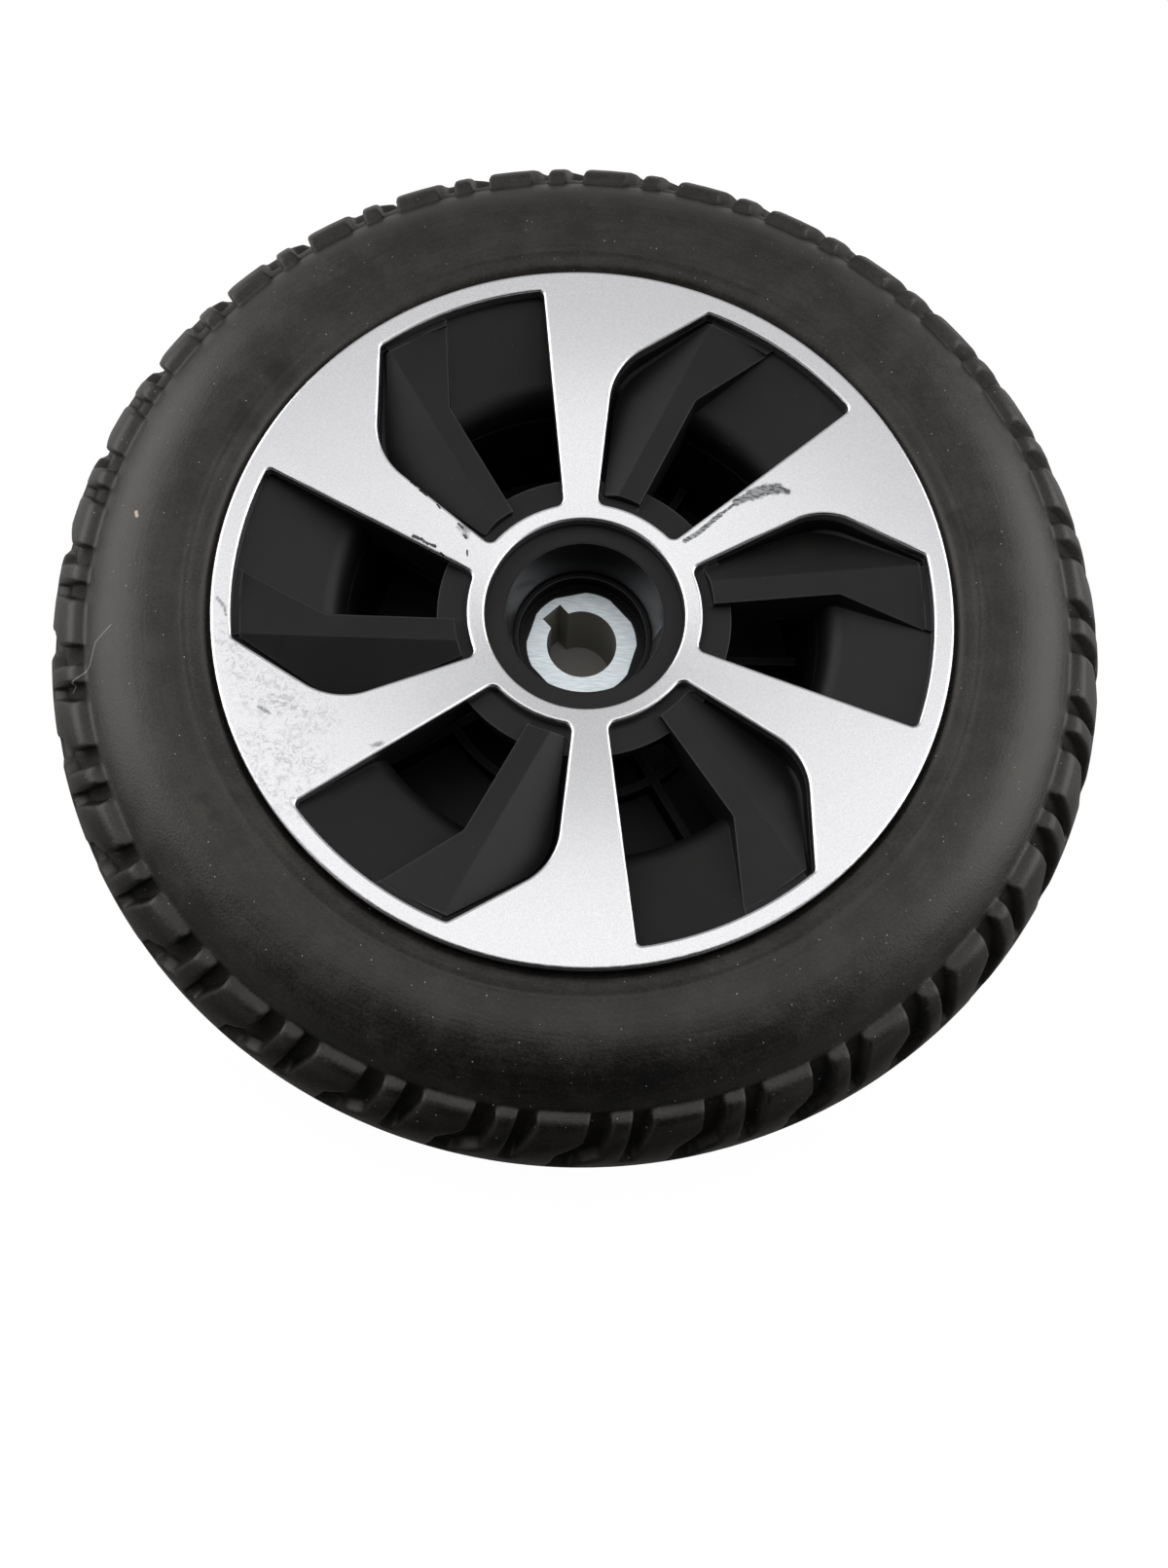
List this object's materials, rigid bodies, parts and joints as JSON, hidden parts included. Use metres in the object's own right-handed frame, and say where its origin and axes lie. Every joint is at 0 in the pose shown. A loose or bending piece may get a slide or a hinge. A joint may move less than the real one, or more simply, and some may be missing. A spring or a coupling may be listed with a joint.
{
  "type": "power wheelchair drive wheel",
  "caption": "Drive wheel for a power wheelchair: black block-tread tyre on a bolted two-piece moulded rim with bladed spokes, silver face plate and a keyed steel hub bush",
  "frame": {"origin": "on the axle line at the hub's rear end face, the lowest point of the wheel as it lies", "axes": "+Z along the axle towards the face plate; X and Y in the plane of the wheel"},
  "size_m": [0.254, 0.254, 0.0618],
  "materials": {
    "tyre_rubber": "matte black rubber with dust",
    "silver_paint": "silver paint on moulded plastic, chipped to black at some edges",
    "rim_plastic": "fine-grained black moulding",
    "bush_steel": "machined and zinc-plated",
    "tyre_foam": "closed-cell foam",
    "zinc_steel": "zinc-plated",
    "insert_brass": "turned brass"
  },
  "bodies": {
    "root": {"tyre": "tyre_rubber", "face_plate": "silver_paint", "rim_front": "rim_plastic", "rim_rear": "rim_plastic", "hub_insert": "bush_steel", "flat_free_insert": "tyre_foam", "rim_bolts": "zinc_steel", "rim_washers": "zinc_steel", "threaded_inserts": "insert_brass", "plate_screws": "zinc_steel"}
  },
  "joints": []
}
